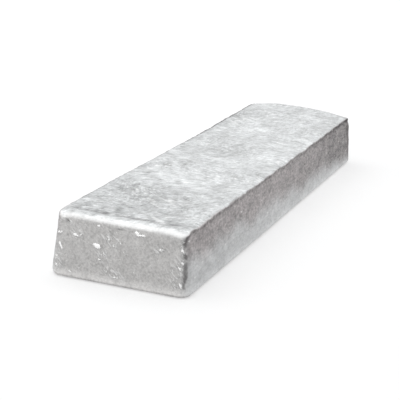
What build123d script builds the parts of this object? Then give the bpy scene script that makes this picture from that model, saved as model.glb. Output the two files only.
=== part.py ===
"""A cast magnesium ingot: one long drafted bar, lying on its wide face.

The metal was poured into an open mould, so the face it now lies on is the free surface, the widest
part of the bar. The walls lean in from there to the narrow face on top, which lay against the floor
of the mould. Both faces have rounded edges, and the upright corners open out towards the base.

Millimetres. X runs along the bar, Y across it, +Z up. The origin is the centre of the face it lies on.
"""

import os

from build123d import *

# The face the bar lies on, measured to where its walls would meet it if its edges were sharp
base_length = 600.0
base_width = 131.0
height = 59.0

# How far each wall leans in between the base and the top face, so that the bar leaves its mould
side_draft = 6.0
end_draft = 3.0

# Upright corners in plan: tight against the mould floor, wider where the free surface was
top_corner_radius = 6.0
base_corner_radius = 12.0

# The rounded edges that run all the way round the two big faces
top_edge_radius = 3.0
base_edge_radius = 5.0

top_length = base_length - 2 * end_draft
top_width = base_width - 2 * side_draft

# Magnesium at room temperature, in kg for each cubic millimetre
magnesium_density = 1.738e-6


def drafted_block():
    """The mould's cavity: a rounded rectangle that narrows from the base to the top face."""
    base = RectangleRounded(base_length, base_width, base_corner_radius)
    top = Pos(0, 0, height) * RectangleRounded(top_length, top_width, top_corner_radius)
    return loft([base, top], ruled=True)


def rounded(block):
    """The block with the edges of its top face and of its base rounded."""
    top_edges = block.faces().sort_by(Axis.Z)[-1].edges()
    block = fillet(top_edges, top_edge_radius)
    base_edges = block.faces().sort_by(Axis.Z)[0].edges()
    return fillet(base_edges, base_edge_radius)


parts = {"ingot": rounded(drafted_block())}

os.makedirs("parts", exist_ok=True)
for name, shape in parts.items():
    export_step(shape, f"parts/{name}.step")
    print(f"{name}: {shape.volume / 1000:.1f} cm3, {shape.volume * magnesium_density:.3f} kg")
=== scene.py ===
# %% [markdown]
# # A cast magnesium ingot
# The object is one bar of magnesium, sixty centimetres long, poured into an open mould and knocked
# out when it was cold. Its shape is plain, so nearly all of its looks lie in what casting did to it:
# edges that rolled over, a face that sank a little, walls with flow marks, and a dull, mottled skin.
# The CAD frame is loaded first, and the scene is built around it, in metres.

# %% the frame
import itertools
import math

import bpy
import numpy as np
from mathutils import Matrix, Vector


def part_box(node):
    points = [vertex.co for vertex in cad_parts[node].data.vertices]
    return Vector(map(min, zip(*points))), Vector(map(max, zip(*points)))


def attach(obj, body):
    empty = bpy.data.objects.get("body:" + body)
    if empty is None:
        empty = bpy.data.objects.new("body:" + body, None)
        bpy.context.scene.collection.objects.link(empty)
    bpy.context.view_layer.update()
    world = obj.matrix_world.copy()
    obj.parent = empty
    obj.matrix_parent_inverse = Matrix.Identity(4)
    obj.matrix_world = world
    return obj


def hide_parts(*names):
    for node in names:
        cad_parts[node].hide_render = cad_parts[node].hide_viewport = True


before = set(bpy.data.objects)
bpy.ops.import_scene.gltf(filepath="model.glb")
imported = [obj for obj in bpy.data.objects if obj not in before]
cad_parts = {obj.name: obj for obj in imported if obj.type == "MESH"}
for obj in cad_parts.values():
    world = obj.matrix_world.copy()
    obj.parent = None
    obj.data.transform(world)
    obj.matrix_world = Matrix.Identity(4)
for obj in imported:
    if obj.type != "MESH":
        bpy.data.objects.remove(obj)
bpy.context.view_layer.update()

MM = 0.001
low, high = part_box("ingot")
size = np.array(high) - np.array(low)
print("CAD bar, mm:", np.round(size / MM, 2))

# %% [markdown]
# ## The camera
# The photograph looks along the bar from one end, a little above it and to one side, with the camera
# tipped by a few degrees. A camera could be placed by eye, but here its place was worked out from
# straight edges in the photograph, so the perspective is the photograph's. It is turned to the middle
# of the bar, and the long lens brings the bar close. Neither changes the perspective.

# %% camera
camera_place = Vector((-1.329, -0.4045, 0.3822))
camera_azimuth = math.radians(-71.952)
camera_elevation = math.radians(15.12)
camera_roll = math.radians(4.593)
camera_lens = 122.0
sensor_width = 36.0

lens = bpy.data.cameras.new("long_lens")
lens.lens = camera_lens
lens.sensor_width = sensor_width
camera = bpy.data.objects.new("camera", lens)
bpy.context.scene.collection.objects.link(camera)
turn = Matrix.Rotation(camera_azimuth, 4, "Z")
lift = Matrix.Rotation(math.pi / 2 - camera_elevation, 4, "X")
tip = Matrix.Rotation(camera_roll, 4, "Z")
camera.matrix_world = Matrix.Translation(camera_place) @ turn @ lift @ tip
bpy.context.scene.camera = camera
bar_middle = Vector((np.array(low) + np.array(high)) / 2)
print("camera is", round((camera_place - bar_middle).length, 3), "m from the bar's middle")

# %% [markdown]
# ## The mould's shape
# The bar is a rounded rectangle that narrows from the base to the top, with rounded edges round both
# faces. It could be a cube with a Bevel modifier, but then no point would know how high it is or which
# wall it is on. Instead the wall is a profile carried round a loop: the loop says where round the bar
# a point is and which way it faces, and the profile says how far down the wall it is.

# %% the bar's dimensions
height = size[2]
side_draft = 6.0 * MM
end_draft = 3.0 * MM
top_corner_radius = 6.0 * MM
base_corner_radius = 12.0 * MM
end_edge_radius = 3.0 * MM
side_edge_radius = 1.5 * MM
base_edge_radius = 5.0 * MM
sharpest_corner = 1.5 * MM
print("walls lean in, mm: sides", round(side_draft / MM, 1), "and ends", round(end_draft / MM, 1))

# %% how finely each stretch of the skin is divided
along_cells = 363
across_cells = 67
corner_cells = 12
top_round_cells = 6
wall_cells = 27
base_round_cells = 7
print("each cell is", round(size[0] / (along_cells + corner_cells) / MM, 2), "mm long")


# %% the loop round the bar
def side_walk(facing, cells):
    """One side of the loop. Travel runs from -1 to 1 between the two corner arcs and stays there on
    them, and the facing turns by 45 degrees on the half arc at each end of the side."""
    half = corner_cells / 2
    step = np.arange(cells + corner_cells)
    travel = 2 * np.clip((step - half) / cells, 0, 1) - 1
    turned = np.clip(step / half, 0, 1) + np.clip((step - half - cells) / half, 0, 1) - 1
    facing = math.radians(facing)
    middle = np.array([math.cos(facing), math.sin(facing)])
    onward = np.array([-middle[1], middle[0]])
    angle = facing + turned * math.pi / 4
    return middle + travel[:, None] * onward, np.stack([np.cos(angle), np.sin(angle)], 1)


sides = [side_walk(-90, along_cells), side_walk(0, across_cells),
         side_walk(90, along_cells), side_walk(180, across_cells)]
loop_place = np.concatenate([s[0] for s in sides])
loop_facing = np.concatenate([s[1] for s in sides])
print("points round the loop:", len(loop_place))


# %% the profile down a wall
def wall_profile(draft, top_edge_radius):
    """Reach, height and tilt of each ring of a wall. The wall is a line that leans in by the draft.
    A quarter round, turning from straight up to the wall's own tilt, joins it to the top face, and
    another, turning from that tilt to straight down, joins it to the base. Reach is measured from
    where the sharp wall would meet the base."""
    lean = math.atan2(draft, height)
    over = np.linspace(math.pi / 2, lean, top_round_cells + 1)
    under = np.linspace(lean, -math.pi / 2, base_round_cells + 1)

    def rounded(radius, centre_height, angle):
        """Reach and height on a round edge. Its centre lies one radius inside the leaning wall, and
        the radius times the cosine and the sine of the angle is added to it."""
        centre = -draft * centre_height / height - radius / math.cos(lean)
        return centre + radius * np.cos(angle), centre_height + radius * np.sin(angle)

    top_reach, top_z = rounded(top_edge_radius, height - top_edge_radius, over)
    base_reach, base_z = rounded(base_edge_radius, base_edge_radius, under)
    share = np.linspace(0, 1, wall_cells + 1)[1:-1]
    wall_reach = top_reach[-1] + share * (base_reach[0] - top_reach[-1])
    wall_z = top_z[-1] + share * (base_z[0] - top_z[-1])
    reach = np.concatenate([top_reach, wall_reach, base_reach])
    z = np.concatenate([top_z, wall_z, base_z])
    tilt = np.concatenate([over, np.full(len(share), lean), under])
    return reach, z, tilt


side_reach, side_z, side_tilt = wall_profile(side_draft, side_edge_radius)
end_reach, end_z, end_tilt = wall_profile(end_draft, end_edge_radius)
rings = len(side_z)
print("rings down the wall:", rings)

# %% [markdown]
# ## Walls and lids
# Carrying the profile round the loop gives the wall as one closed band. The faces above and below it
# could be single big polygons, but then they could hold no relief. Each is a grid whose rim is the
# band's own first or last ring, and whose inside is blended from its four sides, so that the whole bar
# is one closed skin with no seam.


# %% the band of wall
def wall_band():
    """Points and outward directions of the wall, ring by ring. The plan of each ring is a rounded
    rectangle: the loop's place times the half size less the corner radius, plus the loop's facing
    times that radius. The radius shrinks from base to top, and on the round edges by as much as the
    wall steps back. Round a corner, height and tilt pass from the side's profile to the end's."""
    half = np.array([size[0] / 2 - end_reach.max(), size[1] / 2 - side_reach.max()])
    rise = side_z / height
    cut_back = -side_draft * rise - side_reach
    radius = base_corner_radius + (top_corner_radius - base_corner_radius) * rise - cut_back
    radius = np.maximum(radius, sharpest_corner)[:, None]
    x = loop_place[:, 0] * (half[0] + end_reach[:, None] - radius) + radius * loop_facing[:, 0]
    y = loop_place[:, 1] * (half[1] + side_reach[:, None] - radius) + radius * loop_facing[:, 1]
    end_share = loop_facing[:, 0] ** 2
    z = end_share * end_z[:, None] + (1 - end_share) * side_z[:, None]
    tilt = end_share * end_tilt[:, None] + (1 - end_share) * side_tilt[:, None]
    out = np.stack([loop_facing[:, 0] * np.cos(tilt), loop_facing[:, 1] * np.cos(tilt), np.sin(tilt)], -1)
    return np.stack([x, y, z], -1), out


def lid(ring):
    """Points inside a closed ring. Each is the blend of the two points across from it and the two
    points along from it, less the blend of the four corners, which the first two count twice."""
    nx, ny = along_cells + corner_cells, across_cells + corner_cells
    ring = np.concatenate([ring, ring[:1]])
    front, right = ring[:nx + 1], ring[nx:nx + ny + 1]
    back, left = ring[nx + ny:2 * nx + ny + 1][::-1], ring[2 * nx + ny:][::-1]
    u = np.linspace(0, 1, nx + 1)[1:-1, None, None]
    v = np.linspace(0, 1, ny + 1)[None, 1:-1, None]
    across = (1 - v) * front[1:-1, None] + v * back[1:-1, None]
    along = (1 - u) * left[None, 1:-1] + u * right[None, 1:-1]
    corners = ((1 - u) * (1 - v) * front[0] + u * (1 - v) * front[-1]
               + (1 - u) * v * back[0] + u * v * back[-1])
    return across + along - corners


wall_points, wall_out = wall_band()
top_points, base_points = lid(wall_points[0]), lid(wall_points[-1])
points = np.concatenate([wall_points.reshape(-1, 3), top_points.reshape(-1, 3), base_points.reshape(-1, 3)])
up = np.array([0.0, 0.0, 1.0])
out = np.concatenate([wall_out.reshape(-1, 3), np.tile(up, (top_points[..., 0].size, 1)),
                      np.tile(-up, (base_points[..., 0].size, 1))])
print("points in the skin:", len(points))


# %% the faces that join them
def grid_faces(index):
    """The quads of a grid of point numbers: each number with the next one down, the one diagonally
    across and the next one along."""
    return np.stack([index[:-1, :-1], index[1:, :-1], index[1:, 1:], index[:-1, 1:]], -1).reshape(-1, 4)


def lid_index(ring, inside_start):
    """The point numbers of a whole lid as a grid: the ring's own numbers round the rim, and inside it
    new ones, counted on row by row."""
    nx, ny = along_cells + corner_cells, across_cells + corner_cells
    index = np.zeros((nx + 1, ny + 1), int)
    ring = np.append(ring, ring[0])
    index[:, 0] = ring[:nx + 1]
    index[-1, :] = ring[nx:nx + ny + 1]
    index[:, -1] = ring[nx + ny:2 * nx + ny + 1][::-1]
    index[0, :] = ring[2 * nx + ny:][::-1]
    index[1:-1, 1:-1] = inside_start + np.arange((nx - 1) * (ny - 1)).reshape(nx - 1, ny - 1)
    return index


wall_index = np.arange(rings * len(loop_place)).reshape(rings, -1)
closed = np.concatenate([wall_index, wall_index[:, :1]], 1)
inside = top_points[..., 0].size
top_index = lid_index(wall_index[0], wall_index.size)
base_index = lid_index(wall_index[-1], wall_index.size + inside)
faces = np.concatenate([grid_faces(closed), grid_faces(top_index), grid_faces(base_index)[:, ::-1]])
print("quads:", len(faces), "triangles:", 2 * len(faces))

# %% [markdown]
# ## Unevenness
# Nothing on a casting is random in the way of sand: the metal shrank, flowed and froze in patches of
# many sizes. Gradient noise gives that. It could come from a Displace modifier with a texture, but
# worked out on the points it can be stretched along the flow, and each mark can be kept to its place.
# From here up to the mesh, places and depths are in millimetres.

# %% smooth noise, worked out on all points at once
at = points / MM
edge_directions = np.array([d for d in itertools.product((-1, 0, 1), repeat=3) if d.count(0) == 1], float)
cell_shift = 4096


def scramble(cell, seed):
    """A whole number for each lattice cell that looks random: its three indices times large odd
    numbers, folded over themselves twice. The shift keeps the indices above zero."""
    c = (cell + cell_shift).astype(np.uint32)
    mixed = c[..., 0] * np.uint32(374761393) + c[..., 1] * np.uint32(668265263)
    mixed = mixed + c[..., 2] * np.uint32(2246822519) + np.uint32(seed * 97 + 13)
    mixed = (mixed ^ (mixed >> np.uint32(13))) * np.uint32(1274126177)
    return mixed ^ (mixed >> np.uint32(16))


def swell(wavelength, seed):
    """Gradient noise from about -1 to 1. Each lattice corner holds a direction, a point takes how far
    it lies along it, and the eight answers are blended with a curve that is flat at both ends."""
    p = at / np.asarray(wavelength, float)
    cell = np.floor(p)
    f = p - cell
    curve = f ** 3 * (f * (f * 6 - 15) + 10)
    summed = np.zeros(len(at))
    for step in itertools.product((0, 1), repeat=3):
        step = np.array(step)
        way = edge_directions[scramble(cell + step, seed) % 12]
        share = np.where(step == 1, curve, 1 - curve).prod(-1)
        summed += share * ((f - step) * way).sum(-1)
    return summed * 1.4


def rough(wavelength, seed, octaves=3):
    """Noise of several sizes added up, each half as long and half as deep as the one before."""
    wavelength = np.asarray(wavelength, float)
    return sum(swell(wavelength / 2 ** k, seed + k) / 2 ** k for k in range(octaves)) / 1.5


print("noise runs from", *np.round(np.percentile(swell(20, 1), [1, 99]), 2))


# %% steps and humps
def ease(value, start, end):
    """0 before start, 1 after end, and between them a smooth rise: t squared times (3 - 2 t). With the
    end below the start it is 1 at low values and falls."""
    t = np.clip((value - start) / (end - start), 0, 1)
    return t * t * (3 - 2 * t)


def hump(distance, width):
    """1 where the distance is nothing, and near 0 from twice the width on: e to the power of minus the
    square of distance over width."""
    return np.exp(-(distance / width) ** 2)


print("a hump, one and two widths away:", *np.round(hump(np.array([1.0, 2.0]), 1.0), 3))

# %% [markdown]
# ## Where each point is
# A mark on a casting belongs to a place: an edge, a corner, the foot of a wall. Vertex groups painted
# by hand could hold those places, but the points are already numbers. So each place is a distance or a
# share that is worked out once for all points, and every mark after this is a formula in them.

# %% distances from the edges
x, y, z = at.T
length, width, tall = size / MM
half_top = np.array([length / 2 - end_draft / MM, width / 2 - side_draft / MM])
from_near = x + half_top[0]
from_far = half_top[0] - x
from_right = y + half_top[1]
from_left = half_top[1] - y
rim_distance = np.minimum(np.minimum(from_near, from_far), np.minimum(from_right, from_left))
below_edge = np.clip(tall - z, 0, None)
rise = z / tall
crest = ease(rise, 0.45, 0.95)
leftness = ease(y, -30, 30)
print("top face, mm:", *np.round(2 * half_top, 1))

# %% shares of each face
on_top = np.clip(out[:, 2], 0, 1) ** 2
on_base = np.clip(-out[:, 2], 0, 1) ** 2
on_wall = np.clip(1 - out[:, 2] ** 2, 0, 1)
on_side = on_wall * out[:, 1] ** 2
on_end = on_wall * out[:, 0] ** 2
on_near_end = on_end * (x < 0)
print("shares of top, base, sides and ends:",
      *[round(float(share.mean()), 3) for share in (on_top, on_base, on_side, on_end)])

# %% [markdown]
# ## How the bar set
# The largest marks first. The long edge on the right sags most near the middle. The far end stands in a
# low arch whose two corners slumped, the left one more, and the near end's top edge rolled over. A
# lattice could bend the bar, but it wouldn't follow the edges. So each is a height to add to every
# point, most at the top and nothing at the base that the bar lies on.

# %% sag, arch and slumped corners
sag_depth = 2.1
arch_height = 3.7
right_slump = 1.1
left_slump = 3.4

sag = -sag_depth * hump(x - 10, 240) * ease(-y, -5, 58)
left_rise = (0.9 + 1.2 * ease(x, 50, 230)) * ease(y, 5, 58)
arch = arch_height * ease(x, 90, 290) * (1 - ((y - 6) / 62) ** 2)
slumps = right_slump * hump(from_far, 15) * hump(from_right, 18)
slumps = slumps + left_slump * hump(from_far, 18) * hump(from_left, 20)
settled = (sag + left_rise + arch - slumps) * rise
print("top face moves by", *np.round([settled.min(), settled.max()], 2), "mm")

# %% rolled and nibbled edges
near_roll_depth = 2.8
far_roll_depth = 1.2
corner_depth = 1.6
nibble_depth = 1.5

band_width = (8.0 - 3.4 * ease(y, -40, 50)) * (1 + 0.2 * swell(45, 91))
near_roll = near_roll_depth * np.clip(1 - from_near / (1.3 * band_width), 0, 1) ** 2
far_roll = far_roll_depth * np.clip(1 - from_far / 9, 0, 1) ** 2
corner_drop = corner_depth * hump(from_near, 9) * (hump(from_right, 11) + 1.3 * hump(from_left, 9))
nearest_side = np.minimum(from_right, from_left).clip(0)
nibbles = nibble_depth * ease(rough((20, 90, 90), 93), -0.15, 0.45) * hump(nearest_side, 3.5)
nibbles = nibbles * (1 - 0.75 * leftness)
rolled = (near_roll + far_roll + corner_drop + nibbles) * crest
print("edges drop by up to", round(float(rolled.max()), 2), "mm")

# %% [markdown]
# ## The face that lay on the mould floor
# It is not quite flat. A faint rim stands round it, with a shallow hollow inside and a furrow just
# behind the near edge, and the face has long low swells. It could be sculpted by hand, but a few
# formulas in the distance from each edge are easier to change.

# %% top face
hollow_depth = 0.55
furrow_depth = 0.5
furrow_place = 17.0
swell_height = 0.5
patch_height = 0.22
dab_height = 0.13

hollow = -hollow_depth * ease(rim_distance, 4, 26)
furrow = -furrow_depth * hump(from_near - furrow_place, 8)
long_swell = swell_height * swell((110, 60, 60), 3)
patches = patch_height * rough((26, 18, 20), 5)
dabs = dab_height * rough((8, 6, 20), 7, 2)
top_relief = on_top * (hollow + furrow + long_swell + patches + dabs)
print("top relief, mm:", *np.round([top_relief.min(), top_relief.max()], 2))

# %% [markdown]
# ## The walls
# The top edge of each long wall is scalloped, where metal shrank away from the corner of the mould, and
# more so on the right. Below it the wall carries faint upright flow marks, near the ends there are
# wrinkles where two tongues of metal met, and the upper part is crusted with the mould's coating. The
# end faces are grainier. One noise texture would make them all alike, so each has its own.

# %% scallops, lip and flow marks
scallop_depth = 0.95
lip_height = 0.3
groove_depth = 0.6
bow_depth = 0.9
flow_depth = 0.22
wrinkle_depth = 0.45

scallop = scallop_depth * rough((19, 40, 60), 11, 2) * np.exp(-below_edge / 12)
scallop = scallop * (1 - 0.5 * leftness)
lip = lip_height * hump(below_edge, 1.5) - groove_depth * hump(below_edge - 4, 2.4)
lip = lip * (0.8 + 0.9 * swell((13, 13, 60), 13))
bow = bow_depth * swell((150, 90, 90), 17)
flow = flow_depth * rough((11, 11, 48), 19)
wrinkle_place = np.maximum(1 - from_near / 110, 1 - from_far / 80).clip(0, 1)
wrinkles = wrinkle_depth * wrinkle_place * rough((13, 13, 19), 23)
print("scallops, mm:", *np.round([scallop.min(), scallop.max()], 2))

# %% coating, and the relief of walls and ends
coating_start = 33.0
crumb_height = 0.3
end_grain_height = 0.26

# The coating mark is a mauve stain and partly painted shade: it darkens the upper part of the long walls.
coating_foot = coating_start - 16 * ease(x, -280, 300) - 8 * ease(x, 210, 275)
coating_foot = coating_foot + 6 * swell((45, 60, 200), 61) + 3 * swell((14, 60, 200), 63)
coating_and_shade = on_side * ease(z - coating_foot, -13 + 4 * ease(x, 0, 250), 10)
crumbs = crumb_height * coating_and_shade * rough((9, 9, 7), 27, 2)
end_grain = end_grain_height * rough(9, 29)
side_relief = on_side * (bow + scallop + lip + flow + wrinkles + crumbs)
end_relief = on_end * (0.5 * scallop + 0.5 * lip + end_grain + 0.6 * bow)
print("wall relief, mm:", *np.round([side_relief.min(), side_relief.max()], 2))

# %% [markdown]
# ## Blisters and pits
# Gas under the skin left blisters and pits, deepest on the ends. Small spheres could be joined on and
# cut out, but that would take a boolean for each. Instead a lattice is laid through the bar with one
# random spot in each cell, and a point rises or sinks by how near it is to a spot.


# %% blisters, pits and the skin all over
def nearest_blister(spacing, seed):
    """Distance to the nearest of a scatter of spots, one in each lattice cell, and a random number
    from 0 to 1 that belongs to it. A cell's scrambled number is cut into four: three shares of the
    cell's sides, which place the spot, and the random number."""
    p = at / spacing
    cell = np.floor(p)
    best = np.full(len(at), 9.0)
    mark = np.zeros(len(at))
    for step in itertools.product((-1, 0, 1), repeat=3):
        here = cell + np.array(step)
        code = scramble(here, seed)
        spot = np.stack([(code >> np.uint32(s)) % 256 for s in (0, 8, 16)], -1) / 255.0
        far = np.linalg.norm(here + spot - p, axis=1)
        closer = far < best
        best = np.where(closer, far, best)
        mark = np.where(closer, (code >> np.uint32(24)) / 255.0, mark)
    return best * spacing, mark


blister_height = 0.42
skin_height = 0.09
wear_depth = 0.35

blister_far, blister_kind = nearest_blister(15, 31)
blister = hump(blister_far, 1.6 + 2.2 * blister_kind) * np.where(blister_kind > 0.55, 1.0, -1.3)
blister = blister * (np.abs(blister_kind - 0.5) > 0.28)
blister_place = on_end + 0.45 * on_side + 0.25 * on_top
fine_skin = skin_height * rough(5, 37, 2)
edge_wear = wear_depth * rough(8, 41) * hump(rim_distance.clip(0), 5) * crest
small_relief = blister_height * blister * blister_place + fine_skin + edge_wear
print("small relief, mm:", *np.round([small_relief.min(), small_relief.max()], 2))

# %% [markdown]
# ## The face underneath
# The bar lies on what was the open top of the casting. That face froze last: it sank along its middle,
# and its oxide skin crept into ripples. It never shows in the photograph, so it is made as such faces
# commonly are. A wave texture could draw the ripples as bump, but the sunk middle is a real shape, so
# both are made in the mesh. Only the rim touches the floor.

# %% underside
sink_depth = 2.1
ripple_length = 17.0
ripple_height = 0.45

inward = ease(rim_distance, 2, 34)
sink = sink_depth * inward * (0.8 + 0.2 * swell(120, 43))
creep = np.sin(2 * math.pi * (x / ripple_length + 0.9 * swell((60, 34, 60), 47) + (y / 48) ** 2))
ripples = ripple_height * creep * inward * (0.55 + 0.45 * swell(70, 53))
under_relief = on_base * (sink + ripples + 0.25 * inward * rough(14, 59))
print("underside sinks by up to", round(float(under_relief.max()), 2), "mm")

# %% all of it added to the skin
relief = top_relief + side_relief + end_relief + small_relief * (1 - on_base)
skin = at + out * relief[:, None]
skin[:, 2] += settled - rolled + under_relief
skin[:, 2] = np.maximum(skin[:, 2], low[2] / MM)
print("cast bar, mm:", *np.round(np.ptp(skin, axis=0), 2))

# %% [markdown]
# ## Where the skin is dark
# The upper part of each long wall is a dull mauve, where the mould's coating stuck to it, and its
# darkness is partly painted shade; the lower part is clean. Lines of painted shade run below the top
# edges, along the rounded left and far top edges and down the upright corners, a broader dark band
# crosses each long wall just before the far end, and the furrow and pits are darkened with painted shade.
# They could be painted on an image, but the bar would have to be unwrapped first. Here each mark is a
# number for each point, and a formula in the distance from an edge puts it just where it belongs.

# %% painted shade down the upright corners, and a dark band near the far end
jag = rough((6, 6, 8), 67, 2)
corner = np.zeros(len(at))
corner[:wall_index.size] = np.tile(2 * np.abs(loop_facing[:, 0] * loop_facing[:, 1]), rings)
# The line down each upright corner is painted shade, strongest at the far end and faint at the near left.
corner_shade_line = corner ** 4 * ease(jag, -0.5 - 0.5 * ease(x, 0, 250), 0.2) * on_wall
corner_shade_line = corner_shade_line * np.where(x > 0, 1.0, np.where(y > 0, 0.25, 0.88))
# A broader dark band runs down each long wall just before the far end, stronger on the right.
far_dark_band = hump(from_far - 10.5, 3.6) * np.where(y < 0, 1.0, 0.4) * on_side
far_dark_band = far_dark_band * ease(z, 6, 16) * ease(jag, -0.9, 0.1)
print("points on the corner lines:", int((corner_shade_line > 0.5).sum()))

# %% lines of painted shade along the top edges
# These lines are painted shade: under the long walls' lip, below the ends' top edge, and on the rounded
# left and far top edges.
edge_shade_line = hump(below_edge - 2.6, 2.3) * np.abs(out[:, 1]) * on_wall ** 0.5
edge_shade_line = edge_shade_line * ease(jag, -0.6, 0.3) * (0.9 + 0.5 * ease(x, 60, 280))
edge_shade_line = edge_shade_line * np.where(y < 0, 1.0, ease(from_near, 5, 40))
end_shade_line = 0.5 * hump(below_edge - 6.0, 2.0) * on_end * ease(jag, -0.1, 0.5)
left_shade_line = hump(from_left - 0.4, 2.0) * crest * ease(from_near, 5, 40) * (0.5 + 0.5 * ease(x, -50, 200))
far_shade_line = 0.5 * hump(from_far - 1.0, 2.5) * crest
print("points on the edge lines:", int((edge_shade_line > 0.5).sum()))

# %% painted shade in the furrow and the pits, and all dark marks together
# The furrow behind the near edge is darkened with painted shade.
furrow_shade = on_top * hump(from_near - furrow_place, 5.5) * ease(from_right, -2, 16)
furrow_shade = furrow_shade * ease(from_left, -1, 9) * (0.9 + 0.8 * rough(12, 105, 2)).clip(0)
# The pits are darkened with painted shade.
pit_shade = np.clip(-blister, 0, 1) * blister_place.clip(0, 1)
dark = corner_shade_line + 0.9 * far_dark_band + edge_shade_line + end_shade_line + 1.2 * left_shade_line + far_shade_line
dark = dark + 0.7 * pit_shade + 0.5 * furrow_shade
print("dark share of the skin:", round(float(dark.clip(0, 1).mean()), 3))

# %% [markdown]
# ## Chips and flecks on the near end
# The near end carries small chips of metal that stand out of it. A few are bright and ringed with
# painted shadow, and the rest are fainter. Between them lie groups of fine bright flecks. A random
# scatter would be the quick way, but the eye goes to this face first, so each chip is a small turned
# oval with a place of its own, and noise shakes its outline.


# %% chips
def nearest_oval(u, v, ovals):
    """How far each point is from the nearest of some small turned ovals, where 1 is on its rim: the
    distances from the middle along and across the oval, each over its half size, squared, added and
    rooted. An oval is the two coordinates of its middle, its two half sizes and its turn in degrees."""
    best = np.full(len(u), 9.0)
    for middle_u, middle_v, half_u, half_v, turned in ovals:
        aside, over = u - middle_u, v - middle_v
        slant = math.radians(turned)
        along = (aside * math.cos(slant) + over * math.sin(slant)) / half_u
        across = (over * math.cos(slant) - aside * math.sin(slant)) / half_v
        best = np.minimum(best, np.hypot(along, across))
    return best


bright_chips = [(20.5, 34.0, 3.8, 2.0, 8), (57.0, 42.0, 3.2, 1.7, -24), (-15.0, 53.6, 2.6, 1.2, 14),
                (-20.5, 52.2, 3.2, 1.2, -12), (55.0, 28.5, 3.6, 1.2, 50), (57.5, 10.5, 1.8, 1.3, 0)]
faint_chips = [(20.5, 54.0, 1.7, 1.1, 0), (1.5, 9.0, 4.0, 0.8, 14), (9.5, 13.0, 2.6, 0.7, 40),
               (58.5, 17.0, 1.5, 2.6, 0), (17.0, 22.5, 1.9, 1.3, 0), (13.0, 28.5, 1.8, 0.8, -30),
               (-56.5, 46.0, 1.2, 1.6, 0), (-55.0, 27.0, 2.6, 1.2, 40), (-53.0, 13.0, 2.6, 1.4, 40),
               (-57.5, 12.0, 1.2, 2.2, 0), (40.5, 41.0, 2.4, 1.2, 30), (44.0, 6.5, 2.2, 1.2, 0),
               (-38.0, 41.5, 2.2, 1.1, -30), (36.0, 43.0, 2.0, 1.0, -20), (10.0, 43.0, 2.4, 1.0, -35),
               (5.0, 38.0, 2.4, 0.9, -35), (-2.0, 42.0, 2.0, 0.8, -35)]
uneven = 0.9 * swell(5, 101)
chip_far = nearest_oval(y + uneven, z - uneven, bright_chips)
faint_far = nearest_oval(y + uneven, z - uneven, faint_chips)
chips = (ease(chip_far, 1.5, 0.4) + 0.7 * ease(faint_far, 1.5, 0.4)).clip(0, 1) * on_near_end
# A ring of painted shadow lies round each bright chip.
chip_shadow_rim = hump(chip_far - 1.75, 0.4) * on_near_end
print("chips:", len(bright_chips), "bright and", len(faint_chips), "faint")

# %% groups of flecks, and two dark nicks under the edge
fleck_groups = [(9.0, 42.0, 9.0, 8.0, 0), (39.0, 41.0, 6.0, 5.0, 0), (-53.0, 19.0, 6.0, 13.0, 0),
                (-38.0, 41.0, 6.0, 4.0, 0), (57.0, 15.0, 4.0, 9.0, 0), (4.0, 11.0, 10.0, 4.0, 15),
                (45.0, 53.5, 12.0, 2.5, 0), (15.0, 26.0, 5.0, 5.0, 0)]
dark_nicks = [(51.0, 55.0, 5.0, 1.4, 25), (0.0, 54.0, 5.0, 1.2, 0)]
fleck_place = (ease(nearest_oval(y, z, fleck_groups), 1.7, 0.4) + 0.2) * on_end
nicks = ease(nearest_oval(y, z, dark_nicks), 1.6, 0.4) * on_near_end
# The rings of painted shadow round the chips join the dark marks, and so do the dark nicks.
dark = dark + 0.35 * chip_shadow_rim + 0.6 * nicks
print("groups of flecks:", len(fleck_groups), "and dark nicks:", len(dark_nicks))

# %% bare metal, and the polished edge with its painted highlight
wall_reach = half_top[1] + side_draft / MM * (1 - rise)
corner_rim = hump(wall_reach + y - 4.0, 1.6) * ease(z, 20, 36) * on_near_end
far_blisters = np.clip(blister, 0, 1) * on_end * (1 - on_near_end)
bare = chips + 0.45 * corner_rim + 0.5 * far_blisters
# The polish mark is partly worn, polished metal and partly a painted highlight along the rolled near edge.
polish_and_highlight = hump(from_near.clip(0), 0.68 * band_width) * hump(below_edge, 2.2) * (1 - on_side) * crest
print("bare share of the skin:", round(float(bare.clip(0, 1).mean()), 4))

# %% chips and corners put into the shape
chip_height = 0.75
corner_jag = 0.45
far_corner_fullness = 1.6

fuller = far_corner_fullness * (x > 0) * ease(below_edge, 0.5, 7)
corner_relief = (corner_jag * jag * np.where(x > 0, 0.4, 1.0) + fuller) * corner ** 2
skin += out * ((chip_height * chips + corner_relief) * (1 - on_base))[:, None]
print("with chips and corners, mm:", *np.round(np.ptp(skin, axis=0), 2))

# %% [markdown]
# ## Lighter and darker patches
# Oxide lies thicker in some places than in others, so the metal is lighter and darker in patches of all
# sizes, most on the top face. The finest come later, in the material. Noise alone would give patches
# that are all alike, so the few that stand out are placed one by one over it. Some of the tone is
# painted light and shade: the top face is darker in the furrow and just behind the near edge, the
# walls and ends are lighter at their foot, and the long walls darker towards the far end.


# %% patches of oxide
def patch(middle_x, middle_y, half_x, half_y):
    """1 in the middle of an oval on the top face and fading to 0 around it. How far out a point is, in
    half sizes, has noise added before it is eased, which makes the outline ragged."""
    far = ((x - middle_x) / half_x) ** 2 + ((y - middle_y) / half_y) ** 2
    return ease(np.sqrt(far) + wander, 1.5, 0.3)


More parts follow.
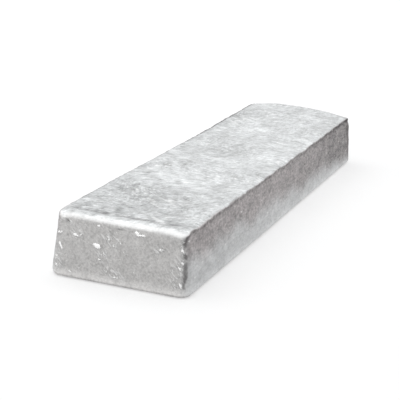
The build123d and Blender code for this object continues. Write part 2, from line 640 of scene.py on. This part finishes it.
wander = 0.7 * rough((30, 22, 60), 83)
ragged = rough((34, 24, 24), 79)
small = rough((13, 8, 7), 89, 2)
larger = rough((46, 19, 20), 109, 2)
past_near = on_top * ease(x, -230, -100)
tone_light_and_shade = 0.5 * ragged + 0.5 * small * (1 - past_near) + 0.65 * larger * past_near
tone_light_and_shade = tone_light_and_shade * (1 - 0.6 * on_end)
top_patches = [(-0.75, -222, 2, 58, 52), (-0.6, -52, 27, 26, 8), (-0.6, 25, 6, 28, 20),
               (-0.8, 160, 56, 60, 8), (-0.5, -80, -33, 6, 4), (0.4, -122, 6, 44, 34),
               (0.3, 140, 12, 20, 14), (0.2, 230, -20, 60, 40), (-0.5, -60, 50, 45, 10),
               (-0.4, 185, 44, 50, 12), (-0.5, 195, -46, 50, 14), (0.45, 105, -28, 60, 12)]
for lighter, *oval in top_patches:
    tone_light_and_shade = tone_light_and_shade + lighter * on_top * patch(*oval)
print("patches on the top face:", len(top_patches))

# %% spots on the top face
dark_spots = [(-232, -29, 14, 4, 0), (-176, 34, 12, 3, -20), (-130, 42, 12, 2.5, 10), (-84, 41, 10, 2, -10),
              (-70, 27, 6, 1.6, 15), (-204, -16, 6, 1.6, 20), (-145, 3, 5, 3, 0), (-225, 3, 9, 5, 0),
              (-258, 18, 16, 3, 15), (190, 56, 14, 2, 0), (-15, 8, 5, 10, 0), (48, 14, 5, 12, 0)]
light_spots = [(-201, 15, 3, 9, 0), (-122, 25, 16, 7, 10), (-180, -30.5, 34, 1.5, 6), (144, 12, 9, 8, 0),
               (-25, 14, 4, 9, 0), (-66, -10, 6, 3, -30), (-110, -26, 9, 4, 0), (25, 54, 10, 3, 0),
               (-238, 42, 5, 2, 30), (-244, -46, 6, 2, 20), (75, 22, 4, 14, 0), (-100, 44, 12, 3, 0)]
wobble = 1.5 * swell(11, 103)
tone_light_and_shade = tone_light_and_shade - 0.8 * on_top * ease(nearest_oval(x + wobble, y - wobble, dark_spots), 1.6, 0.3)
tone_light_and_shade = tone_light_and_shade + 0.55 * on_top * ease(nearest_oval(x + wobble, y - wobble, light_spots), 1.6, 0.3)
# Painted shade: the top face is darker in the furrow and in a strip just behind the rolled near edge.
shade_behind_edge = on_top * ease(from_near, 12, 20) * ease(from_near, 38, 26)
tone_light_and_shade = tone_light_and_shade - 1.1 * furrow_shade - 0.5 * shade_behind_edge
print("spots on the top face:", len(dark_spots), "dark and", len(light_spots), "light")

# %% patches on the ends, the long walls and the base, and painted light and shade
end_patches = [(-37, 43, 12, 9, 0), (-5, 29, 6, 13, 0)]
pale_streaks = [(-247, 29, 14, 5, -25), (-262, 33, 6, 3, -60)]
end_shade = ease(nearest_oval(y, z, end_patches), 1.7, 0.2) * on_near_end
# The lighter line along the foot of the ends is painted light.
foot_rim_light = hump(z - 3.4, 1.7) * np.abs(out[:, 0]) * (0.8 + 0.8 * jag).clip(0)
pale = ease(nearest_oval(x, z, pale_streaks), 1.7, 0.3) * on_side * (y < 0)
# The far part of the long walls is darker, most in the coating and on the right: painted shade.
far_shade = on_side * ease(x, -20, 260) * (0.1 + 1.5 * coating_and_shade) * np.where(y < 0, 1.0, 0.5)
# The walls, and the ends most, are lighter towards their foot: painted light.
foot_painted_light = (0.9 + 0.5 * on_end) * on_wall * ease(z, 12, 4)
tone_light_and_shade = tone_light_and_shade + on_base * inward * (0.35 * creep + 0.9 * rough(40, 107))
tone_light_and_shade = tone_light_and_shade - 0.4 * end_shade + 1.5 * foot_rim_light + pale - far_shade + foot_painted_light
print("tone runs from", *np.round(np.percentile(tone_light_and_shade, [1, 99]), 2))

# %% the marks that the material will read
marks = {"top_face": on_top, "long_side": on_side, "coating_and_shade": coating_and_shade, "shade_and_dark_marks": dark.clip(0, 1),
         "bare_metal": bare.clip(0, 1), "flecks": fleck_place, "polish_and_highlight": polish_and_highlight, "tone_light_and_shade": tone_light_and_shade}
for name, values in marks.items():
    print(name, "mean and spread:", round(float(values.mean()), 3), round(float(values.std()), 3))

# %% [markdown]
# ## The mesh
# The points and quads are numbers so far. Python could hand them to Blender one by one, but for nearly
# a hundred thousand points that is slow, so foreach_set copies whole arrays. The marks go in beside
# them, as named attributes that the material reads.


# %% points, quads and marks into Blender
def new_mesh(name, vertices, quads):
    """A mesh object at the origin, with its place in its vertices. The corners of all quads follow one
    another in a single row, and each quad starts four further on."""
    mesh = bpy.data.meshes.new(name)
    mesh.vertices.add(len(vertices))
    mesh.vertices.foreach_set("co", vertices.astype(np.float32).ravel())
    mesh.loops.add(quads.size)
    mesh.loops.foreach_set("vertex_index", quads.astype(np.int32).ravel())
    mesh.polygons.add(len(quads))
    mesh.polygons.foreach_set("loop_start", np.arange(0, quads.size, 4, dtype=np.int32))
    mesh.polygons.foreach_set("use_smooth", np.ones(len(quads), bool))
    mesh.update(calc_edges=True)
    mesh.validate()
    made = bpy.data.objects.new(name, mesh)
    bpy.context.scene.collection.objects.link(made)
    return made


def store(mesh, name, values):
    """A number for each point, which the material reads by this name."""
    attribute = mesh.attributes.new(name, "FLOAT", "POINT")
    attribute.data.foreach_set("value", np.asarray(values, np.float32))


bar = new_mesh("cast_bar", skin * MM, faces)
for name, values in marks.items():
    store(bar.data, name, values)
print("cast bar has", len(bar.data.vertices), "points and", len(bar.data.attributes), "attributes")


# %% its volume
def enclosed(vertices, quads):
    """The volume inside a closed skin: for each triangle a sixth of its first corner's dot product with
    the cross product of the other two, all added up."""
    a, b, c, d = (vertices[quads[:, k]] for k in range(4))
    return (a * (np.cross(b, c) + np.cross(c, d))).sum() / 6


print("volume, cm3:", round(enclosed(skin, faces) / 1000, 1))

# %% [markdown]
# ## The skin of the metal
# Cast magnesium is not a mirror. It is bare metal under a thin grey oxide, so it is part metal and
# part chalk: light from above makes it pale, and it still gathers a broad shine at its edges. Where the
# mould's coating stuck, and in the dark marks, it is matt. A picture wrapped round the bar would blur
# close to, so one Principled shader takes its patterns from the place on the bar, with a metallic value
# between 0 and 1 and a roughness that wanders.


# %% node helpers
def node(tree, kind, inputs=None, **settings):
    """A node with its settings and inputs filled in. An input is a value or another node's output."""
    made = tree.nodes.new(kind)
    for name, value in settings.items():
        setattr(made, name, value)
    for name, value in (inputs or {}).items():
        socket = made.inputs[name]
        if isinstance(value, bpy.types.NodeSocket):
            tree.links.new(value, socket)
        else:
            socket.default_value = value
    return made


def calc(tree, operation, a, b=0.0):
    """One sum on two numbers or outputs."""
    return node(tree, "ShaderNodeMath", {0: a, 1: b}, operation=operation).outputs[0]


def times(tree, a, b):
    """One number or output times another."""
    return calc(tree, "MULTIPLY", a, b)


def total(tree, *outputs):
    """The sum of several outputs or numbers."""
    last = outputs[0]
    for output in outputs[1:]:
        last = calc(tree, "ADD", last, output)
    return last


def mixed_by(tree, share, first, second):
    """Two numbers mixed by a share from 0 to 1: the first times what is left of 1, plus the second
    times the share."""
    return node(tree, "ShaderNodeMix", {0: share, 2: first, 3: second}).outputs[0]


def blended(tree, share, first, second, how="MIX"):
    """Two colours mixed by a share from 0 to 1, in the same way as two numbers."""
    return node(tree, "ShaderNodeMix", {0: share, 6: first, 7: second},
                data_type="RGBA", blend_type=how).outputs[2]


def between(tree, value, start, end, to_low=0.0, to_high=1.0):
    """The value carried from one range to another, smoothly and no further."""
    inputs = {"Value": value, "From Min": start, "From Max": end, "To Min": to_low, "To Max": to_high}
    return node(tree, "ShaderNodeMapRange", inputs, interpolation_type="SMOOTHSTEP").outputs[0]


def stored(tree, name):
    """The number that the mesh keeps for each point under this name."""
    return node(tree, "ShaderNodeAttribute", attribute_name=name).outputs["Fac"]


# %% the metal's material, and the marks it reads
magnesium = bpy.data.materials.new("cast_magnesium")
magnesium.use_nodes = True
tree = magnesium.node_tree
tree.nodes.clear()
place = node(tree, "ShaderNodeTexCoord").outputs["Object"]
top = stored(tree, "top_face")
side = stored(tree, "long_side")
coat_and_shade = stored(tree, "coating_and_shade")
tones_light_and_shade = stored(tree, "tone_light_and_shade")
darkened = stored(tree, "shade_and_dark_marks")
polish_and_highlight = stored(tree, "polish_and_highlight")
print("marks read so far:", sum(made.type == "ATTRIBUTE" for made in tree.nodes))

# %% [markdown]
# ## Mottle and speckle
# The skin is mottled in patches of a few millimetres and speckled in smaller ones. On the top face they
# are as long as they are wide. On the walls, where the metal slid along the mould, they are drawn out
# along the bar, and faint upright lines run through them. An image could hold all this, but a noise
# texture that reads the place on the bar has no seam, and a Mapping node stretches it one way.


# %% mottle and speckle
def noise(tree, vector, scale, detail=3.0, roughness=0.55):
    """Noise from 0 to 1, with scale in patches for each metre."""
    inputs = {"Vector": vector, "Scale": scale, "Detail": detail, "Roughness": roughness}
    return node(tree, "ShaderNodeTexNoise", inputs).outputs["Fac"]


def stretched(tree, vector, turn=(0.0, 0.0, 0.0), scale=(1.0, 1.0, 1.0)):
    """The same coordinates turned by some degrees and stretched, so that a pattern on them runs one way."""
    inputs = {"Vector": vector, "Rotation": tuple(math.radians(a) for a in turn), "Scale": scale}
    return node(tree, "ShaderNodeMapping", inputs, vector_type="TEXTURE").outputs[0]


def on_skin(scale, detail, roughness):
    """Noise that is even on the top face and drawn out on the walls, mixed by the top face's mark."""
    walls = noise(tree, drawn_out, scale, detail, roughness)
    return mixed_by(tree, top, walls, noise(tree, place, scale, detail, roughness))


def swing(tree, output, depth):
    """A pattern's distance from its middle value of a half, times a depth."""
    return node(tree, "ShaderNodeMath", {0: output, 1: depth, 2: -0.5 * depth},
                operation="MULTIPLY_ADD").outputs[0]


mottle_scale = 140.0
speckle_scale = 480.0
flow_scale = 210.0
drawn_out = stretched(tree, place, scale=(2.4, 1.0, 1.0))
mottle = on_skin(mottle_scale, 5.0, 0.68)
speckle = on_skin(speckle_scale, 3.0, 0.65)
flow_lines = noise(tree, stretched(tree, place, scale=(1.0, 1.0, 6.0)), flow_scale, 4.0)
print("nodes so far:", len(tree.nodes))

# %% [markdown]
# ## Strokes and scratches on the top face
# The top face is covered in short faint strokes that run three ways, crossed by a few broad ones and by
# thin pale scratches. Each could be a curve laid on the face, but there are thousands. So they are
# noise that is stretched three times as long as wide, on coordinates that drift, which keeps the strokes
# from being straight. A scratch is a thin line along one level of a noise, like a contour on a map.

# %% coordinates that drift
drift_size = 0.06
drift = node(tree, "ShaderNodeTexNoise", {"Vector": place, "Scale": 12.0, "Detail": 1.0}).outputs["Color"]
drift = node(tree, "ShaderNodeVectorMath", {0: drift, 1: (0.5, 0.5, 0.5)}, operation="SUBTRACT").outputs[0]
drift = node(tree, "ShaderNodeVectorMath", {0: drift, 1: (drift_size, drift_size, 0.0)},
             operation="MULTIPLY").outputs[0]
curved = node(tree, "ShaderNodeVectorMath", {0: place, 1: drift}, operation="ADD").outputs[0]
print("drift of up to", drift_size / 2 / MM, "mm each way")


# %% strokes
def strokes_along(degrees, scale):
    """Short strokes that mostly run one way over the top face: stretched noise less a half."""
    lines = stretched(tree, curved, (0.0, 0.0, degrees), (3.0, 1.0, 1.0))
    return swing(tree, noise(tree, lines, scale, 3.0, 0.6), 1.0)


slanting = strokes_along(-60.0, 290.0)
lengthwise = strokes_along(-12.0, 330.0)
crosswise = strokes_along(-94.0, 290.0)
lightest = calc(tree, "MAXIMUM", calc(tree, "MAXIMUM", slanting, lengthwise), crosswise)
darkest = calc(tree, "MINIMUM", calc(tree, "MINIMUM", slanting, lengthwise), crosswise)
strokes = total(tree, lightest, darkest)
broad = total(tree, strokes_along(10.0, 62.0), strokes_along(48.0, 55.0))
print("nodes so far:", len(tree.nodes))

# %% scuffs and scratches
scuff_patch = between(tree, noise(tree, place, 19.0, 2.0), 0.46, 0.62)
scuffs = times(tree, between(tree, strokes, 0.08, 0.2), scuff_patch)
contour = noise(tree, stretched(tree, place, (0.0, 0.0, 48.0), (5.0, 1.0, 1.0)), 55.0, 1.0)
contour = calc(tree, "ABSOLUTE", calc(tree, "SUBTRACT", contour, 0.5))
scratch_patch = between(tree, noise(tree, place, 27.0, 1.0), 0.5, 0.6)
scratches = times(tree, between(tree, contour, 0.0, 0.02, 1.0, 0.0), scratch_patch)
scuffs = times(tree, calc(tree, "MAXIMUM", scuffs, scratches), top)
print("nodes so far:", len(tree.nodes))

# %% [markdown]
# ## Light and shade
# Grain and tone, with the light and shade painted into the tone, are gathered into one number that the
# colour is multiplied by. The walls' grain is stronger where the coating is, and the top's a little
# stronger towards the near end. The stored dark marks, most of them painted shade, and the bare marks
# have smooth outlines. Finer points in the mesh would sharpen them, but it is enough to add mottle and
# speckle to a mark before it is cut off at a threshold: its edge comes out ragged.

# %% grain of the top and of the walls
tone_depth = 0.24
top_grain = total(tree, swing(tree, mottle, 0.85), swing(tree, speckle, 0.65),
                  times(tree, strokes, 1.3), times(tree, broad, 0.4))
along_bar = node(tree, "ShaderNodeSeparateXYZ", {0: place}).outputs["X"]
top_grain = times(tree, top_grain, between(tree, along_bar, -0.29, -0.05, 1.1, 1.0))
wall_grain = total(tree, swing(tree, mottle, 0.8), swing(tree, speckle, 1.0), swing(tree, flow_lines, 0.15))
wall_grain = times(tree, wall_grain, total(tree, 1.0, times(tree, coat_and_shade, 1.15), times(tree, side, -0.2)))
shade = total(tree, 1.0, mixed_by(tree, top, wall_grain, top_grain), times(tree, tones_light_and_shade, tone_depth))
print("one step of tone lightens by", tone_depth)

# %% ragged marks, specks and flecks
ragged_edge = total(tree, swing(tree, speckle, 1.4), swing(tree, mottle, 1.4))
shade_and_dark_marks = times(tree, between(tree, total(tree, darkened, ragged_edge), 0.25, 0.7), darkened)
bare_marks = between(tree, total(tree, stored(tree, "bare_metal"), ragged_edge), 0.26, 0.46)
specks = times(tree, between(tree, speckle, 0.60, 0.70), between(tree, mottle, 0.50, 0.62))
hatching = noise(tree, stretched(tree, place, (45.0, 0.0, 0.0), (1.0, 4.5, 1.0)), 760.0, 2.0)
flecks = times(tree, between(tree, hatching, 0.5, 0.62), stored(tree, "flecks"))
print("nodes so far:", len(tree.nodes))

# %% [markdown]
# ## Colour
# The faces are one metal, but each has its own copy of its colour, set against the light that face
# gets: painted light and shade. The long walls are painted lightest, and the coating is a dull mauve
# stain that is also painted darker as shade. One colour for all would be simpler, but the faces would
# look too much alike. So the faces' colours are mixed by their marks and multiplied by the shade. Then
# the marks go over them one after another, as coats of paint would.

# %% colour
# Each face's colour is set against the light that face gets: painted light and shade.
top_metal = (0.54, 0.552, 0.557, 1.0)
end_metal = (0.565, 0.555, 0.547, 1.0)
side_metal = (0.63, 0.636, 0.64, 1.0)
# The coating's mauve is a stain, and it is also painted darker as shade.
coated_and_shaded_metal = (0.47, 0.436, 0.436, 1.0)
# The dark colour paints oxide specks, and the painted shade of the dark marks.
dark_oxide_and_shade = (0.12, 0.11, 0.11, 1.0)
# The bright colour paints bare metal, flecks and scuffs, and the painted highlight of the polished edge.
bright_metal_and_highlight = (0.95, 0.95, 0.945, 1.0)

colour = blended(tree, side, end_metal, side_metal)
colour = blended(tree, top, colour, top_metal)
colour = blended(tree, coat_and_shade, colour, coated_and_shaded_metal)
colour = blended(tree, 1.0, colour, shade, "MULTIPLY")
# Most dark marks are painted shade, and the polished edge is also a painted highlight.
coats = [(scuffs, 0.32, bright_metal_and_highlight), (specks, 0.4, dark_oxide_and_shade), (shade_and_dark_marks, 0.75, dark_oxide_and_shade),
         (flecks, 0.6, bright_metal_and_highlight), (bare_marks, 0.9, bright_metal_and_highlight), (polish_and_highlight, 0.55, bright_metal_and_highlight)]
for mark, strength, paint in coats:
    colour = blended(tree, times(tree, mark, strength), colour, paint)
print("marks laid over the metal:", len(coats))

# %% [markdown]
# ## Shine and bump
# Bare metal and the polished edge, which is also a painted highlight, are smoother than the skin, and
# dark marks, most of them painted shade, and the coating have little shine. Relief finer than the mesh's
# cells, which are under two millimetres long, is bump: a height that only tilts the light. More points
# could carry it, but the mesh would be too heavy to use.

# %% roughness, metal and gloss
smoother = total(tree, times(tree, bare_marks, 0.18), times(tree, polish_and_highlight, 0.06))
dullness = calc(tree, "SUBTRACT", between(tree, mottle, 0.3, 0.7, 0.36, 0.52), smoother)
unmarked = calc(tree, "SUBTRACT", 1.0, shade_and_dark_marks)
metal_share = times(tree, unmarked, total(tree, 0.45, times(tree, coat_and_shade, -0.25)))
metal_share = total(tree, metal_share, times(tree, bare_marks, 0.5))
gloss = times(tree, unmarked, total(tree, 0.5, times(tree, coat_and_shade, -0.38)))
print("nodes so far:", len(tree.nodes))

# %% bump and the shader
bump_depth = 0.0011
grain_height = total(tree, swing(tree, mottle, 0.8), swing(tree, speckle, 0.6),
                     times(tree, times(tree, strokes, top), 0.5),
                     times(tree, flecks, 0.5), times(tree, bare_marks, 0.9))
bump = node(tree, "ShaderNodeBump", {"Strength": 0.8, "Distance": bump_depth, "Height": grain_height})
shader = node(tree, "ShaderNodeBsdfPrincipled",
              {"Base Color": colour, "Metallic": metal_share, "Specular IOR Level": gloss,
               "Roughness": dullness, "Normal": bump.outputs[0]})
node(tree, "ShaderNodeOutputMaterial", {"Surface": shader.outputs[0]})
bar.data.materials.append(magnesium)
print("nodes in the finish:", len(tree.nodes))

# %% [markdown]
# ## The bar in the frame
# The CAD bar has flat faces that can't take the relief, so the cast bar replaces it. It could have been
# a second object over the first, but the two would cut through each other. It rides on the one body.

# %% the bar takes the CAD node's place
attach(bar, "root")
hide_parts("ingot")
print("the bar rides on the root body")

# %% [markdown]
# ## Floor, light and background
# The bar lies on a plain white floor in soft studio light. The background could be whitened with
# stronger lamps, but that would wash out the metal. Instead the world is white only to the camera and
# to reflections, and the floor gives back a share of its own light, so that it looks white where the
# lamps reach it and still takes the bar's shadow.


# %% floor
def to_eye(tree):
    """1 for rays from the camera, straight, by a reflection or through glass, and 0 for the rest: the
    largest of three of the Light Path node's outputs."""
    seen = node(tree, "ShaderNodeLightPath").outputs
    bounced = calc(tree, "MAXIMUM", seen["Is Glossy Ray"], seen["Is Transmission Ray"])
    return calc(tree, "MAXIMUM", seen["Is Camera Ray"], bounced)


floor_half = 40.0
floor_lit = 0.57
floor_own = 0.48
corners = np.array([(-1, -1, 0), (1, -1, 0), (1, 1, 0), (-1, 1, 0)])
floor = new_mesh("floor", corners * floor_half, np.array([[0, 1, 2, 3]]))
paper = bpy.data.materials.new("white_paper")
paper.use_nodes = True
tree = paper.node_tree
tree.nodes.clear()
from_bar = node(tree, "ShaderNodeVectorMath", {0: node(tree, "ShaderNodeTexCoord").outputs["Object"]},
                operation="LENGTH").outputs["Value"]
lit_share = between(tree, from_bar, 0.7, 2.4, floor_lit, 0.0)
own_share = between(tree, from_bar, 0.45, 1.5, floor_own, 1.0)
lit = node(tree, "ShaderNodeBsdfDiffuse", {"Color": lit_share})
own = node(tree, "ShaderNodeEmission", {"Color": (1.0, 1.0, 1.0, 1.0), "Strength": own_share})
both = node(tree, "ShaderNodeAddShader", {0: lit.outputs[0], 1: own.outputs[0]})
plain = node(tree, "ShaderNodeBsdfDiffuse", {"Color": (0.7, 0.7, 0.7, 1.0)})
mixed = node(tree, "ShaderNodeMixShader", {0: to_eye(tree), 1: plain.outputs[0], 2: both.outputs[0]})
node(tree, "ShaderNodeOutputMaterial", {"Surface": mixed.outputs[0]})
floor.data.materials.append(paper)
print("floor at z =", floor.data.vertices[0].co.z)

# %% world
fill_strength = 0.25
world = bpy.data.worlds.new("studio")
bpy.context.scene.world = world
world.use_nodes = True
tree = world.node_tree
tree.nodes.clear()
white = node(tree, "ShaderNodeBackground", {"Color": (1.0, 1.0, 1.0, 1.0), "Strength": 1.0})
fill = node(tree, "ShaderNodeBackground", {"Color": (0.96, 0.98, 1.0, 1.0), "Strength": fill_strength})
mixed = node(tree, "ShaderNodeMixShader", {0: to_eye(tree), 1: fill.outputs[0], 2: white.outputs[0]})
node(tree, "ShaderNodeOutputWorld", {"Surface": mixed.outputs[0]})
print("fill light:", fill_strength)

# %% [markdown]
# ## Lamps
# A broad soft lamp overhead lights the top face most, and a weak one to the left lifts the near end and
# the left side. Point lamps would draw hard spots on the metal, and a sun a hard shadow on the floor.
# So both are area lamps, a few metres wide.


# %% lamps
def soft_box(name, at, aim, width, depth, watts):
    """A rectangular lamp at a place in metres. Its turn carries its own -Z onto the line from there to
    the point it aims at."""
    lamp = bpy.data.lights.new(name, "AREA")
    lamp.shape = "RECTANGLE"
    lamp.size, lamp.size_y = width, depth
    lamp.energy = watts
    made = bpy.data.objects.new(name, lamp)
    made.location = at
    made.rotation_euler = (Vector(aim) - Vector(at)).to_track_quat("-Z", "Y").to_euler()
    bpy.context.scene.collection.objects.link(made)


soft_box("overhead", at=(0.2, 0.25, 2.0), aim=(0, 0, 0), width=4.4, depth=4.0, watts=66.0)
soft_box("front_left", at=(-1.8, 1.5, 1.1), aim=(0, 0, 0.03), width=2.2, depth=1.6, watts=8.0)

# %% [markdown]
# ## Colours as they are made
# A photograph of a product shows white paper as white. Blender's usual view, AgX, softens bright light and
# would turn the floor grey. Standard leaves the colours as the shaders give them.

# %% the view
bpy.context.scene.view_settings.view_transform = "Standard"
print("view:", bpy.context.scene.view_settings.view_transform)
